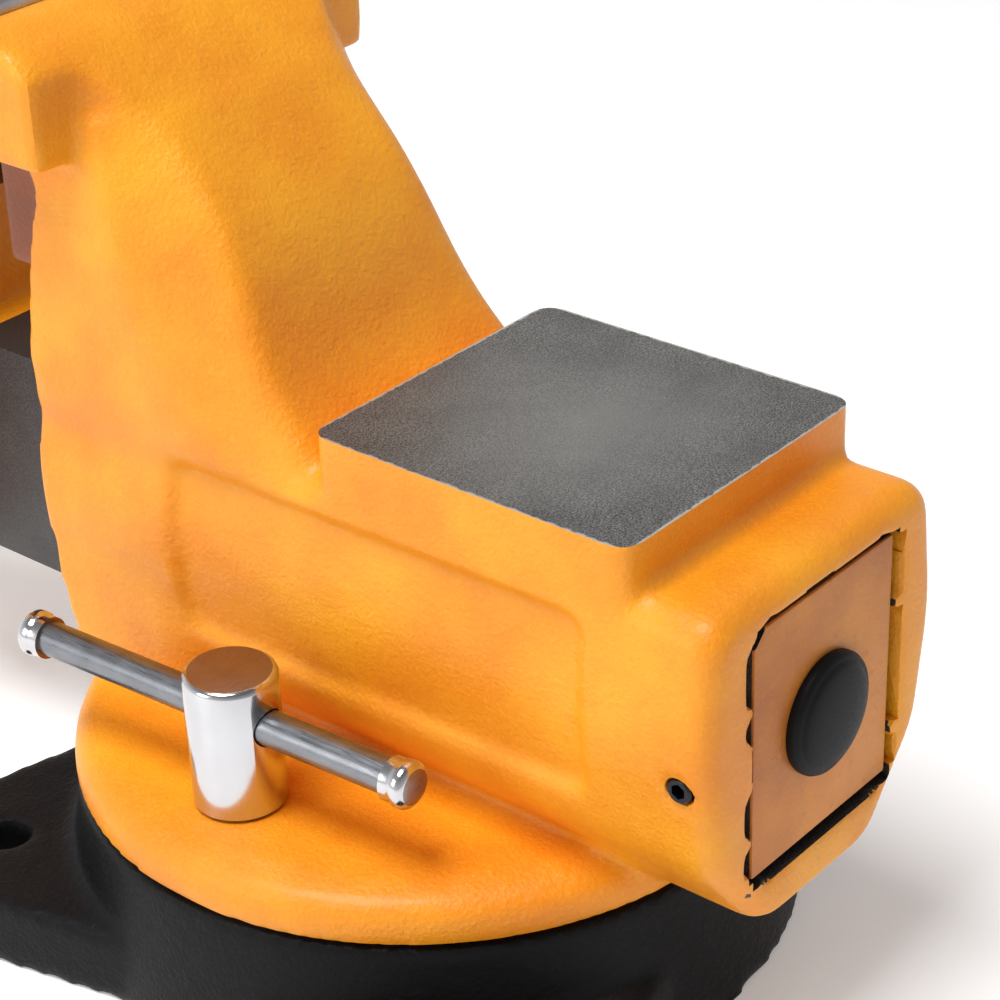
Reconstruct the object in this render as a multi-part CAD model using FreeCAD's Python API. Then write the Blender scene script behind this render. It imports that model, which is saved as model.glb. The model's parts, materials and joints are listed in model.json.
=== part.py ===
import FreeCAD, Part
import math
import os

# Bench vise, 4 inch, with a swivel base, an anvil, pipe jaws and a captive box slide.
# Millimetres. Origin: the swivel axis where it meets the bench. +Z up, +Y towards the
# back of the vise, so the handle is on the -Y side and the operator's right is +X.

# ---- driving dimensions --------------------------------------------------------
JAW_WIDTH = 101.6
JAW_RISE = 87.6            # top of the jaw inserts above the body's roof
INSERT_HEIGHT = 22.0
INSERT_THICK = 12.0
INSERT_SCREW_PITCH = 64.0
INSERT_SCREW_R = 4.0       # M8 cap screws
INSERT_SCREW_HEAD_R = 6.5
JAW_FACE_Y = -88.0         # gripping face of the fixed jaw
REST_OPENING = 32.0        # jaw gap in the rest pose
PIPE_HALF_WIDTH = 37.0     # block that carries the pipe jaw
PIPE_HEIGHT = 31.0
PIPE_SCREW_PITCH = 40.0
PIPE_SCREW_R = 3.0         # M6 cap screws
PIPE_SCREW_HEAD_R = 5.0
CHEEK_WALL = 6.0           # iron each side of the pipe jaw
PIPE_JAW_SINK = 4.0        # its back, behind the insert's back
PIPE_JAW_FLOOR = 2.4       # steel under its screw heads

BASE_TOP = 37.5
DRUM_TOP_R = 82.0
DRUM_FLARE = 4.5           # the foot is this much wider than the top
DRUM_WALL = 11.0
DRUM_HUB_WALL = 8.0        # round the spigot's bore
GROOVE_FLOOR_WALL = 7.0
LUG_PITCH_R = 101.0        # swivel axis to bench bolt
LUG_TIP_R = 22.5
LUG_THICK = 18.0
LUG_HOLE_R = 5.5           # for 3/8 inch or M10 bench bolts
LUG_ANGLES = (-45.0, 45.0, 180.0)

DISC_RIM = 6.0             # turntable under the body
DISC_THICK = 12.2
SPIGOT_R = 32.0            # centres the body in the base
SPIGOT_LENGTH = 11.8

KEEL_RISE = 3.9            # body underside above the base
KEEL_WALL = 15.25          # iron under the slide
SIDE_WALL = 17.35          # iron beside the slide, at the widest
ROOF_WALL = 7.05           # iron above the slide
TUBE_REAR = 108.5
TUBE_EDGE_R = 6.0
POCKET_DEPTH = 2.4         # relief pockets at the back of the slideway
PANEL_DEPTH = 2.4          # recess in each side of the body
COLUMN_FRONT = -80.0
LEG_BACK_Y = -32.0         # full width ends here, low on the body
LEG_INSET = 1.7

ANVIL_HALF_WIDTH = 39.0
ANVIL_FRONT = 5.8
ANVIL_LENGTH = 82.2
ANVIL_RISE = 11.0

SPINDLE_R = 11.0           # Tr22 x 5
SPINDLE_RISE = 28.0        # spindle axis above the slide's underside
SPINDLE_END_Y = 88.0
SPINDLE_HEAD_R = 18.0
HANDLE_R = 6.5
HANDLE_LENGTH = 220.0
KNOB_R = 11.0
SPRING_WIRE = 1.6
SPRING_LENGTH = 12.0
COLLAR_WALL = 4.5
COLLAR_WIDTH = 10.0
PIN_R = 2.5

SLIDE_HEIGHT = 58.0
SLIDE_WALL = 8.0
SLIDE_ROOF = 10.0
SLIDE_END_Y = 107.5        # back of the slide in the rest pose
PLUG_R = 13.5
PLUG_STEM_R = 11.0
SET_SCREW_R = 3.0
SET_SCREW_INSET = 7.5      # from the back of the body

NUT_LENGTH = 40.0
NUT_CENTRE_Y = -12.0
NUT_BOLT_R = 6.0
NUT_HEAD_FLATS = 18.0
NUT_HEAD_HEIGHT = 7.5
NUT_WASHER_R = 11.5
NUT_WASHER_THICK = 2.0

LOCK_OFFSET = 16.8         # swivel lock posts, outside the body's sides
LOCK_Y = -3.0
LOCK_R = 10.4
LOCK_HEIGHT = 32.65
LOCK_BOLT_R = 6.0
LOCK_BAR_R = 4.0
LOCK_BAR_LENGTH = 108.0
LOCK_BAR_DROP = 11.0       # bar axis below the top of its post
LOCK_BAR_SHIFT = -5.7      # bar centre in front of its post
LOCK_TURN = 3.0            # degrees the bars stand off the vise's axis

# ---- clearances ----------------------------------------------------------------
RUNNING = 0.06             # radial, shaft in hole
GAP = 0.35                 # between pieces that slide past each other
SEAT = 0.1                 # round a piece that sits in a pocket
HEAD_ROOM = 0.4            # radial, round a sunk screw head
FITTED = 0.05              # radial, screw or stem in its own hole

# ---- values worked out from them -----------------------------------------------
TUBE_BOTTOM = BASE_TOP + KEEL_RISE
SLIDEWAY_FLOOR = TUBE_BOTTOM + KEEL_WALL
SLIDE_BOTTOM = SLIDEWAY_FLOOR + GAP
SLIDE_TOP = SLIDE_BOTTOM + SLIDE_HEIGHT
TUBE_TOP = SLIDE_TOP + GAP + ROOF_WALL
SPINDLE_Z = SLIDE_BOTTOM + SPINDLE_RISE
ANVIL_TOP = TUBE_TOP + ANVIL_RISE
JAW_TOP = TUBE_TOP + JAW_RISE

PIPE_JAW_HALF = PIPE_HALF_WIDTH - CHEEK_WALL
PIPE_JAW_BACK_Y = JAW_FACE_Y + INSERT_THICK + PIPE_JAW_SINK

COLLAR_R = SPINDLE_R + COLLAR_WALL
CHANNEL_HALF = COLLAR_R + 1.0
SLIDE_HALF = CHANNEL_HALF + SLIDE_WALL
TUBE_HALF_WIDTH = SLIDE_HALF + GAP + SIDE_WALL
CHANNEL_TOP = SLIDE_TOP - SLIDE_ROOF
SPRING_R = SPINDLE_R + SPRING_WIRE + 0.4

INSERT_BACK_Y = JAW_FACE_Y + INSERT_THICK
INSERT_BOTTOM = JAW_TOP - INSERT_HEIGHT
HEAD_BOTTOM = INSERT_BOTTOM - 9.0
EAR_BACK_Y = INSERT_BACK_Y + 20.0
PIPE_BOTTOM = HEAD_BOTTOM - PIPE_HEIGHT
INSERT_SCREW_X = INSERT_SCREW_PITCH / 2
INSERT_SCREW_Z = JAW_TOP - 13.0
PIPE_SCREW_X = PIPE_SCREW_PITCH / 2
PIPE_SCREW_Z = PIPE_BOTTOM + PIPE_HEIGHT / 2
JAW_MID_Y = JAW_FACE_Y - REST_OPENING / 2

DISC_BOTTOM = BASE_TOP + GAP
DISC_TOP = DISC_BOTTOM + DISC_THICK
LOCK_X = TUBE_HALF_WIDTH + LOCK_OFFSET
LOCK_SEAT = DISC_TOP + 0.3
LOCK_TOP = LOCK_SEAT + LOCK_HEIGHT
LOCK_BAR_Z = LOCK_TOP - LOCK_BAR_DROP
LOCK_RING_R = math.hypot(LOCK_X, LOCK_Y)
T_THROAT = LOCK_BOLT_R + GAP
T_HALF_WIDTH = 2 * LOCK_BOLT_R
T_ROOF = BASE_TOP - 9.5
T_FLOOR = T_ROOF - 12.0
DISC_R = LOCK_RING_R + 23.3
POCKET_ROOF = SLIDEWAY_FLOOR - 12.6
SET_SCREW_Y = TUBE_REAR - SET_SCREW_INSET
PAD_OUT = SLIDE_HALF + GAP + 5.0

FRONT_BACK_Y = 2 * JAW_MID_Y - INSERT_BACK_Y      # insert seat of the moving jaw
BOSS_FACE_Y = FRONT_BACK_Y - 58.0
CHANNEL_FRONT_Y = FRONT_BACK_Y - 26.0
HEAD_LENGTH = 2 * SPINDLE_HEAD_R
FLANGE_THICK = 3.0
WASHER_THICK = 2.7
HEAD_BACK_Y = BOSS_FACE_Y - GAP - WASHER_THICK - FLANGE_THICK
HANDLE_Y = HEAD_BACK_Y - SPINDLE_HEAD_R
SPRING_FRONT = CHANNEL_FRONT_Y + GAP
SPRING_BACK = SPRING_FRONT + SPRING_LENGTH
COLLAR_FRONT = SPRING_BACK + WASHER_THICK


# ---- helpers --------------------------------------------------------------------
def vec(x, y, z):
    return FreeCAD.Vector(x, y, z)


def block(x0, x1, y0, y1, z0, z1):
    return Part.makeBox(x1 - x0, y1 - y0, z1 - z0, vec(x0, y0, z0))


def rod_z(r, x, y, z0, z1):
    return Part.makeCylinder(r, z1 - z0, vec(x, y, z0), vec(0, 0, 1))


def rod_y(r, x, z, y0, y1):
    return Part.makeCylinder(r, y1 - y0, vec(x, y0, z), vec(0, 1, 0))


def rod_x(r, y, z, x0, x1):
    return Part.makeCylinder(r, x1 - x0, vec(x0, y, z), vec(1, 0, 0))


def rounded_wire(points, radii):
    """Closed outline through the points, each corner rounded by its own radius."""
    ends = []
    for i, corner in enumerate(points):
        back = (points[i - 1] - corner).normalize()
        ahead = (points[(i + 1) % len(points)] - corner).normalize()
        half = back.getAngle(ahead) / 2
        radius = radii[i]
        reach = radius / math.tan(half)
        middle = (back + ahead).normalize() * (radius / math.sin(half) - radius)
        ends.append((corner + back * reach, corner + middle, corner + ahead * reach))
    edges = []
    for i, (start, middle, stop) in enumerate(ends):
        if radii[i] > 0:
            edges.append(Part.Arc(start, middle, stop).toShape())
        following = ends[(i + 1) % len(ends)][0]
        if stop.distanceToPoint(following) > 1e-6:
            edges.append(Part.LineSegment(stop, following).toShape())
    return Part.Wire(edges)


def prism(points, radii, along):
    return Part.Face(rounded_wire(points, radii)).extrude(along)


def profile_x(outline, half_width, radii=None):
    """A side view, (y, z) points, made solid across the vise's full width."""
    corners = [vec(-half_width, y, z) for y, z in outline]
    return prism(corners, radii or [0] * len(corners), vec(2 * half_width, 0, 0))


def mirrored(points):
    """Right half of an outline, top to bottom, completed by its left half."""
    return points + [(-x, z) for x, z in reversed(points)]


def turned(outline, angle=360):
    """An (r, z) outline spun round the swivel axis."""
    corners = [vec(r, 0, z) for r, z in outline]
    return Part.Face(Part.makePolygon(corners + corners[:1])).revolve(vec(0, 0, 0), vec(0, 0, 1), angle)


def hex_prism(across_flats, x, y, z0, z1):
    radius = across_flats / math.sqrt(3)
    corners = [vec(x + radius * math.cos(math.radians(a)), y + radius * math.sin(math.radians(a)), z0)
               for a in range(0, 360, 60)]
    return Part.Face(Part.makePolygon(corners + corners[:1])).extrude(vec(0, 0, z1 - z0))


def socket_screw_y(x, z, face_y, head_r, head_length, shank_r, length):
    """Cap screw along +Y, its socket at face_y."""
    under = face_y + head_length
    head = rod_y(head_r, x, z, face_y, under)
    shank = rod_y(shank_r, x, z, under, under + length)
    socket = rod_y(head_r * 0.45, x, z, face_y, face_y + head_length * 0.5)
    return head.fuse(shank).removeSplitter().cut(socket)


def across_gap(shape):
    """The same shape on the other jaw, mirrored about the middle of the jaw gap."""
    return shape.mirror(vec(0, JAW_MID_Y, 0), vec(0, 1, 0))


def about_lock(shape, side):
    """Turn a lock piece to the angle it rests at, about its own post."""
    copy = shape.copy()
    copy.rotate(vec(side * LOCK_X, LOCK_Y, 0), vec(0, 0, 1), side * LOCK_TURN)
    return copy


def save(name, shape):
    shape.exportStep("parts/" + name + ".step")
    print(name, len(shape.Solids), round(shape.Volume / 1000, 2), "cm3", shape.isValid())


# ---- base ------------------------------------------------------------------------
def lug_plan(angle):
    """Outline of one bench lug: its round tip joined to the drum by tangents."""
    root_r = DRUM_TOP_R - 5.0
    spread = math.acos((root_r - LUG_TIP_R) / LUG_PITCH_R)
    middle = math.radians(angle)
    tip = vec(LUG_PITCH_R * math.cos(middle), LUG_PITCH_R * math.sin(middle), 0)

    def at(radius, turn):
        return vec(radius * math.cos(middle + turn), radius * math.sin(middle + turn), 0)

    left_root = at(root_r, spread)
    right_root = at(root_r, -spread)
    right_end = tip + at(LUG_TIP_R, -spread)
    left_end = tip + at(LUG_TIP_R, spread)
    edges = [Part.LineSegment(right_root, right_end).toShape(),
             Part.Arc(right_end, tip + at(LUG_TIP_R, 0), left_end).toShape(),
             Part.LineSegment(left_end, left_root).toShape(),
             Part.LineSegment(left_root, right_root).toShape()]
    return Part.Face(Part.Wire(edges))


def ring_z(inner_r, outer_r, z0, z1):
    return turned([(inner_r, z0), (outer_r, z0), (outer_r, z1), (inner_r, z1)])


def base_casting():
    """Drum with bench lugs; a T groove inside it holds the heads of the swivel lock bolts."""
    foot_r = DRUM_TOP_R + DRUM_FLARE
    drum = turned([(0, 0), (foot_r, 0), (DRUM_TOP_R, BASE_TOP), (0, BASE_TOP)])
    body = drum.fuse([lug_plan(a).extrude(vec(0, 0, LUG_THICK)) for a in LUG_ANGLES])
    throat = ring_z(LOCK_RING_R - T_THROAT, LOCK_RING_R + T_THROAT, T_ROOF - 1, BASE_TOP + 1)
    groove = ring_z(LOCK_RING_R - T_HALF_WIDTH, LOCK_RING_R + T_HALF_WIDTH, T_FLOOR, T_ROOF)
    hollow = ring_z(SPIGOT_R + DRUM_HUB_WALL, foot_r - DRUM_WALL, -1, T_FLOOR - GROOVE_FLOOR_WALL)
    bore = rod_z(SPIGOT_R + RUNNING, 0, 0, DISC_BOTTOM - SPIGOT_LENGTH - 2, BASE_TOP + 1)
    through = rod_z(SPIGOT_R - 6, 0, 0, -1, BASE_TOP)
    holes = []
    for angle in LUG_ANGLES:
        middle = math.radians(angle)
        holes.append(rod_z(LUG_HOLE_R, LUG_PITCH_R * math.cos(middle), LUG_PITCH_R * math.sin(middle),
                           -1, LUG_THICK + 1))
    return body.removeSplitter().cut([throat, groove, hollow, bore, through] + holes)


# ---- fixed body ------------------------------------------------------------------
def tube_outline(inset=0.0):
    """Section of the body across Y: widest half way up, narrow at the keel."""
    half = TUBE_HALF_WIDTH - inset
    return mirrored([(half - 3.6, TUBE_TOP), (half, TUBE_TOP - 30.4), (half - 4.6, TUBE_BOTTOM + 22.6),
                     (half - 23.2, TUBE_BOTTOM)])


def tube(inset, y0, y1):
    radii = [8, 60, 20, 12]
    corners = [vec(x, y0, z) for x, z in tube_outline(inset)]
    return prism(corners, radii + radii[::-1], vec(0, y1 - y0, 0))


def neck_section(z, front_y, knee, rear):
    """Straight sides from the front to the knee, then in towards the narrower rear."""
    corners = [vec(knee[0], front_y, z), vec(knee[0], knee[1], z), vec(rear[0], rear[1], z),
               vec(-rear[0], rear[1], z), vec(-knee[0], knee[1], z), vec(-knee[0], front_y, z)]
    return rounded_wire(corners, [2, 6, 6, 6, 6, 2])


def neck():
    """Rises from the body to the jaw head, narrowing towards the back."""
    half = TUBE_HALF_WIDTH
    rise = INSERT_BOTTOM - TUBE_TOP
    rows = [(-0.09, 0.6, -22, 5, 8), (0.18, 0.4, -33, 8, -7.5), (0.43, 0.6, -42, 10.7, -16.5),
            (0.64, 1.2, -47, 13, -23.5), (0.82, 2.6, -50, 14.4, -32.5), (1.0, 4, -53, 15.5, -42)]
    sections = []
    for share, knee_in, knee_y, rear_in, rear_y in rows:
        z = TUBE_TOP + share * rise
        knee = (half - knee_in, knee_y)
        sections.append(neck_section(z, COLUMN_FRONT - 5, knee, (half - rear_in, rear_y)))
    return Part.makeLoft(sections, True, False)


def leg():
    """Full-width foot of the column, down to the turntable."""
    half = TUBE_HALF_WIDTH - LEG_INSET
    front_y = COLUMN_FRONT - 5
    low = DISC_TOP - 2
    corners = [vec(half, front_y, low), vec(half, LEG_BACK_Y, low), vec(-half, LEG_BACK_Y, low),
               vec(-half, front_y, low)]
    return prism(corners, [2, 14, 14, 2], vec(0, 0, SPINDLE_Z - low))


def front_limit(back_y):
    """Keeps the column behind its bowed front face and the insert's seat."""
    bow_top = HEAD_BOTTOM - 11
    start = vec(-90, COLUMN_FRONT + 9.5, TUBE_BOTTOM - 6)
    middle = vec(-90, COLUMN_FRONT, SPINDLE_Z + 5)
    stop = vec(-90, COLUMN_FRONT + 9.5, bow_top)
    corners = [vec(-90, INSERT_BACK_Y, HEAD_BOTTOM), vec(-90, INSERT_BACK_Y, JAW_TOP + 9),
               vec(-90, back_y, JAW_TOP + 9), vec(-90, back_y, TUBE_BOTTOM - 6)]
    edges = [Part.Arc(start, middle, stop).toShape()]
    path = [stop] + corners + [start]
    edges += [Part.LineSegment(a, b).toShape() for a, b in zip(path[:-1], path[1:])]
    return Part.Face(Part.Wire(edges)).extrude(vec(180, 0, 0))


def jaw_head():
    """Full-width head of the fixed jaw: ears, sloping roof, ledge under the insert."""
    half = JAW_WIDTH / 2
    shoulder = TUBE_HALF_WIDTH - 6
    inner = TUBE_HALF_WIDTH - 15.2
    right = [vec(half, INSERT_BACK_Y, HEAD_BOTTOM), vec(half, EAR_BACK_Y, HEAD_BOTTOM),
             vec(shoulder, EAR_BACK_Y, HEAD_BOTTOM), vec(inner, EAR_BACK_Y + 18, HEAD_BOTTOM)]
    left = [vec(-corner.x, corner.y, corner.z) for corner in reversed(right)]
    roof = prism(right + left, [0, 3, 6, 6, 6, 6, 3, 0], vec(0, 0, JAW_TOP - HEAD_BOTTOM))
    slope = profile_x([(INSERT_BACK_Y - 20, HEAD_BOTTOM - 5), (INSERT_BACK_Y - 20, JAW_TOP - 2),
                       (INSERT_BACK_Y + 5, JAW_TOP - 2), (EAR_BACK_Y - 4, JAW_TOP - 7),
                       (EAR_BACK_Y + 7, JAW_TOP - 16.5), (EAR_BACK_Y + 24, INSERT_BOTTOM - 12),
                       (EAR_BACK_Y + 24, HEAD_BOTTOM - 5)], half + 1, [0, 0, 12, 20, 30, 0, 0])
    ears = prism([vec(-half, INSERT_BACK_Y, HEAD_BOTTOM), vec(half, INSERT_BACK_Y, HEAD_BOTTOM),
                  vec(half, INSERT_BACK_Y, JAW_TOP - 2), vec(-half, INSERT_BACK_Y, JAW_TOP - 2)],
                 [7, 7, 0, 0], vec(0, EAR_BACK_Y - INSERT_BACK_Y, 0)).common(slope)
    ledge = prism([vec(-half, JAW_FACE_Y + 2.5, HEAD_BOTTOM), vec(half, JAW_FACE_Y + 2.5, HEAD_BOTTOM),
                   vec(half, JAW_FACE_Y + 2.5, INSERT_BOTTOM), vec(-half, JAW_FACE_Y + 2.5, INSERT_BOTTOM)],
                  [7, 7, 0, 0], vec(0, INSERT_THICK - 2.5, 0))
    return roof.common(slope).fuse([ears, ledge])


def pipe_block():
    """Iron below the head that holds the pipe jaw between two cheeks."""
    half = PIPE_HALF_WIDTH
    return block(-half, half, JAW_FACE_Y + 2, INSERT_BACK_Y + 14, PIPE_BOTTOM, HEAD_BOTTOM)


def pipe_pocket():
    """Seat of the pipe jaw, cut into the block and the column behind it."""
    half = PIPE_JAW_HALF + SEAT
    return block(-half, half, JAW_FACE_Y - 1, PIPE_JAW_BACK_Y, PIPE_BOTTOM - 1, HEAD_BOTTOM - 1)


def screw_holes():
    """Tapped holes of the fixed jaw, for its insert's screws and its pipe jaw's."""
    start = INSERT_BACK_Y - 1
    holes = [rod_y(INSERT_SCREW_R, x, INSERT_SCREW_Z, start, INSERT_BACK_Y + 13)
             for x in (INSERT_SCREW_X, -INSERT_SCREW_X)]
    holes += [rod_y(PIPE_SCREW_R, x, PIPE_SCREW_Z, start, INSERT_BACK_Y + 22)
              for x in (PIPE_SCREW_X, -PIPE_SCREW_X)]
    return holes


def slideway():
    """The way through the body for the slide, relieved by pockets at the back."""
    half = SLIDE_HALF + GAP
    way = block(-half, half, COLUMN_FRONT - 10, TUBE_REAR + 5, SLIDEWAY_FLOOR, SLIDE_TOP + GAP)
    cuts = [way]
    start = TUBE_REAR - 10
    stop = TUBE_REAR + 5
    right = [(0.03, 0.155), (0.19, 0.38), (0.585, 0.69), (0.725, 0.965)]
    left = [(0.03, 0.155), (0.19, 0.69), (0.725, 0.965)]
    for side, shares in ((1, right), (-1, left)):
        wall = side * (half + POCKET_DEPTH)
        for low, high in shares:
            z0 = SLIDE_BOTTOM + low * SLIDE_HEIGHT
            z1 = SLIDE_BOTTOM + high * SLIDE_HEIGHT
            cuts.append(block(min(0, wall), max(0, wall), start, stop, z0, z1))
    inner = half - 3
    cuts.append(block(-inner, inner, start, stop, SLIDEWAY_FLOOR - POCKET_DEPTH, SLIDE_TOP))
    cuts.append(block(-inner, inner, start, stop, SLIDE_BOTTOM, SLIDE_TOP + GAP + POCKET_DEPTH / 2))
    return cuts


def side_panel(side):
    """A shallow recess with rounded corners in the body's side wall."""
    x = side * (TUBE_HALF_WIDTH - 12)
    corners = [vec(x, -38, TUBE_BOTTOM + 28.6), vec(x, 77.5, TUBE_BOTTOM + 30.6),
               vec(x, 77.5, TUBE_TOP - 7), vec(x, -38, TUBE_TOP - 8)]
    panel = prism(corners, [6, 6, 6, 6], vec(side * 30, 0, 0))
    return panel.cut(tube(PANEL_DEPTH, -45, 85))


def anvil():
    back = ANVIL_FRONT + ANVIL_LENGTH
    low = TUBE_TOP - 4
    corners = [vec(-ANVIL_HALF_WIDTH, ANVIL_FRONT, low), vec(ANVIL_HALF_WIDTH, ANVIL_FRONT, low),
               vec(ANVIL_HALF_WIDTH, back, low), vec(-ANVIL_HALF_WIDTH, back, low)]
    return prism(corners, [4.5] * 4, vec(0, 0, ANVIL_TOP - low))


def body_casting():
    shell = tube(0, COLUMN_FRONT - 5, TUBE_REAR)
    rear_face = [f for f in shell.Faces if f.BoundBox.YMin > TUBE_REAR - 0.01][0]
    shell = shell.makeFillet(TUBE_EDGE_R, rear_face.Edges)
    core = shell.fuse([neck(), leg()]).removeSplitter().common(front_limit(TUBE_REAR + 5))
    disc = turned([(0, DISC_BOTTOM), (DISC_R, DISC_BOTTOM), (DISC_R, DISC_BOTTOM + DISC_RIM),
                   (DISC_R - 1.2, DISC_TOP - 3.6), (DISC_R - 4, DISC_TOP - 1.6), (DISC_R - 9, DISC_TOP - 0.5),
                   (DISC_R - 16, DISC_TOP), (0, DISC_TOP)])
    spigot = rod_z(SPIGOT_R, 0, 0, DISC_BOTTOM - SPIGOT_LENGTH, DISC_BOTTOM + 1)
    adds = [disc, anvil(), jaw_head(), pipe_block(), spigot]
    cuts = slideway() + [side_panel(1), side_panel(-1), pipe_pocket()]
    for x in (LOCK_X, -LOCK_X):
        adds.append(rod_z(LOCK_R + 1.8, x, LOCK_Y, DISC_TOP - 3, LOCK_SEAT - 0.01))
        cuts.append(rod_z(LOCK_BOLT_R + GAP, x, LOCK_Y, DISC_BOTTOM - 1, LOCK_SEAT + 1))
    cuts.append(rod_z(NUT_WASHER_R + 1.5, 0, NUT_CENTRE_Y, DISC_BOTTOM - SPIGOT_LENGTH - 1, POCKET_ROOF))
    cuts.append(rod_z(NUT_BOLT_R + 0.3, 0, NUT_CENTRE_Y, POCKET_ROOF - 1, SLIDEWAY_FLOOR + 1))
    cuts.append(rod_x(SET_SCREW_R, SET_SCREW_Y, SPINDLE_Z, 0, TUBE_HALF_WIDTH + 5))
    cuts += screw_holes()
    return core.fuse(adds).removeSplitter().cut(cuts)


# ---- jaw inserts, pipe jaws and their screws (fixed side; the other side is mirrored)
def jaw_insert():
    half = JAW_WIDTH / 2
    plate = block(-half, half, JAW_FACE_Y, INSERT_BACK_Y, INSERT_BOTTOM, JAW_TOP)
    edges = [e for e in plate.Edges if e.BoundBox.ZMin > JAW_TOP - 0.01 and e.BoundBox.XLength > 1]
    plate = plate.makeChamfer(0.8, edges)
    holes = []
    for x in (INSERT_SCREW_X, -INSERT_SCREW_X):
        head_r = INSERT_SCREW_HEAD_R + HEAD_ROOM
        holes.append(rod_y(head_r, x, INSERT_SCREW_Z, JAW_FACE_Y - 1, JAW_FACE_Y + 8.6))
        holes.append(rod_y(INSERT_SCREW_R + 0.2, x, INSERT_SCREW_Z, JAW_FACE_Y, INSERT_BACK_Y + 1))
    return plate.cut(holes)


def jaw_screws():
    shank_r = INSERT_SCREW_R - FITTED
    screws = [socket_screw_y(x, INSERT_SCREW_Z, JAW_FACE_Y + 0.6, INSERT_SCREW_HEAD_R, 8.0, shank_r, 14.5)
              for x in (INSERT_SCREW_X, -INSERT_SCREW_X)]
    return Part.makeCompound(screws)


def pipe_jaw():
    """Hollow-faced block: two lips with a V between them that grips a round bar."""
    back = PIPE_JAW_BACK_Y
    lip = JAW_FACE_Y + 0.3
    low = PIPE_BOTTOM + 1
    high = HEAD_BOTTOM - 1
    outline = [(lip, low), (lip, low + 2.5), (lip + 8.2, (low + high) / 2), (lip, high - 2.5), (lip, high),
               (back, high), (back, low)]
    body = profile_x(outline, PIPE_JAW_HALF, [0, 0, 4, 0, 0, 0, 0])
    holes = []
    for x in (PIPE_SCREW_X, -PIPE_SCREW_X):
        head_r = PIPE_SCREW_HEAD_R + HEAD_ROOM
        holes.append(rod_y(head_r, x, PIPE_SCREW_Z, JAW_FACE_Y - 1, back - PIPE_JAW_FLOOR))
        holes.append(rod_y(PIPE_SCREW_R + 0.2, x, PIPE_SCREW_Z, JAW_FACE_Y, back + 1))
    return body.cut(holes)


def pipe_jaw_screws():
    head = 6.0
    face_y = PIPE_JAW_BACK_Y - PIPE_JAW_FLOOR - head
    shank_r = PIPE_SCREW_R - FITTED
    screws = [socket_screw_y(x, PIPE_SCREW_Z, face_y, PIPE_SCREW_HEAD_R, head, shank_r, 18.0)
              for x in (PIPE_SCREW_X, -PIPE_SCREW_X)]
    return Part.makeCompound(screws)


# ---- spindle nut and slide adjuster ----------------------------------------------
def spindle_nut():
    half = CHANNEL_HALF - 0.5
    y0 = NUT_CENTRE_Y - NUT_LENGTH / 2
    y1 = NUT_CENTRE_Y + NUT_LENGTH / 2
    top = CHANNEL_TOP - 2
    low = SLIDEWAY_FLOOR
    corners = [vec(half, y0, low), vec(half, y0, top), vec(-half, y0, top), vec(-half, y0, low)]
    body = prism(corners, [0, 10, 10, 0], vec(0, NUT_LENGTH, 0))
    thread = rod_y(SPINDLE_R + RUNNING, 0, SPINDLE_Z, y0 - 1, y1 + 1)
    tapped = rod_z(NUT_BOLT_R, 0, NUT_CENTRE_Y, SLIDEWAY_FLOOR - 1, SPINDLE_Z - SPINDLE_R - 1.5)
    return body.cut([thread, tapped])


def nut_washer():
    ring = rod_z(NUT_WASHER_R, 0, NUT_CENTRE_Y, POCKET_ROOF - NUT_WASHER_THICK, POCKET_ROOF)
    return ring.cut(rod_z(NUT_BOLT_R + 0.5, 0, NUT_CENTRE_Y, POCKET_ROOF - 3, POCKET_ROOF + 1))


def nut_bolt():
    under = POCKET_ROOF - NUT_WASHER_THICK
    head = hex_prism(NUT_HEAD_FLATS, 0, NUT_CENTRE_Y, under - NUT_HEAD_HEIGHT, under)
    shank = rod_z(NUT_BOLT_R - FITTED, 0, NUT_CENTRE_Y, under, SPINDLE_Z - SPINDLE_R - 3)
    return head.fuse(shank).removeSplitter()


def slide_set_screw():
    screw = rod_x(SET_SCREW_R - FITTED, SET_SCREW_Y, SPINDLE_Z, PAD_OUT, TUBE_HALF_WIDTH - 1.6)
    socket = rod_x(1.6, SET_SCREW_Y, SPINDLE_Z, TUBE_HALF_WIDTH - 5, TUBE_HALF_WIDTH)
    return screw.cut(socket)


def slide_pad():
    return rod_x(SET_SCREW_R - FITTED, SET_SCREW_Y, SPINDLE_Z, SLIDE_HALF + GAP, PAD_OUT)


# ---- swivel locks ------------------------------------------------------------------
def lock_bolt(side):
    """Hammer-head bolt: its head rides under the base's ring groove."""
    x = side * LOCK_X
    head_top = T_ROOF - GAP
    head = block(x - T_HALF_WIDTH + 0.8, x + T_HALF_WIDTH - 0.8, LOCK_Y - LOCK_BOLT_R + 0.2,
                 LOCK_Y + LOCK_BOLT_R - 0.2, head_top - 9, head_top)
    shank = rod_z(LOCK_BOLT_R - RUNNING, x, LOCK_Y, head_top - 1, LOCK_BAR_Z - LOCK_BAR_R - 2.5)
    return head.fuse(shank).removeSplitter()


def lock_nut(side):
    x = side * LOCK_X
    post = rod_z(LOCK_R, x, LOCK_Y, LOCK_SEAT + GAP - 0.05, LOCK_TOP)
    top = [e for e in post.Edges if e.BoundBox.ZMin > LOCK_TOP - 0.01]
    post = post.makeChamfer(1.0, top)
    tapped = rod_z(LOCK_BOLT_R, x, LOCK_Y, LOCK_SEAT - 1, LOCK_BAR_Z - LOCK_BAR_R - 1.5)
    cross = rod_y(LOCK_BAR_R + RUNNING, x, LOCK_BAR_Z, LOCK_Y - LOCK_R - 2, LOCK_Y + LOCK_R + 2)
    return about_lock(post.cut([tapped, cross]), side)


def lock_bar(side):
    middle = LOCK_Y + LOCK_BAR_SHIFT
    half = LOCK_BAR_LENGTH / 2
    return about_lock(rod_y(LOCK_BAR_R, side * LOCK_X, LOCK_BAR_Z, middle - half, middle + half), side)


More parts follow.
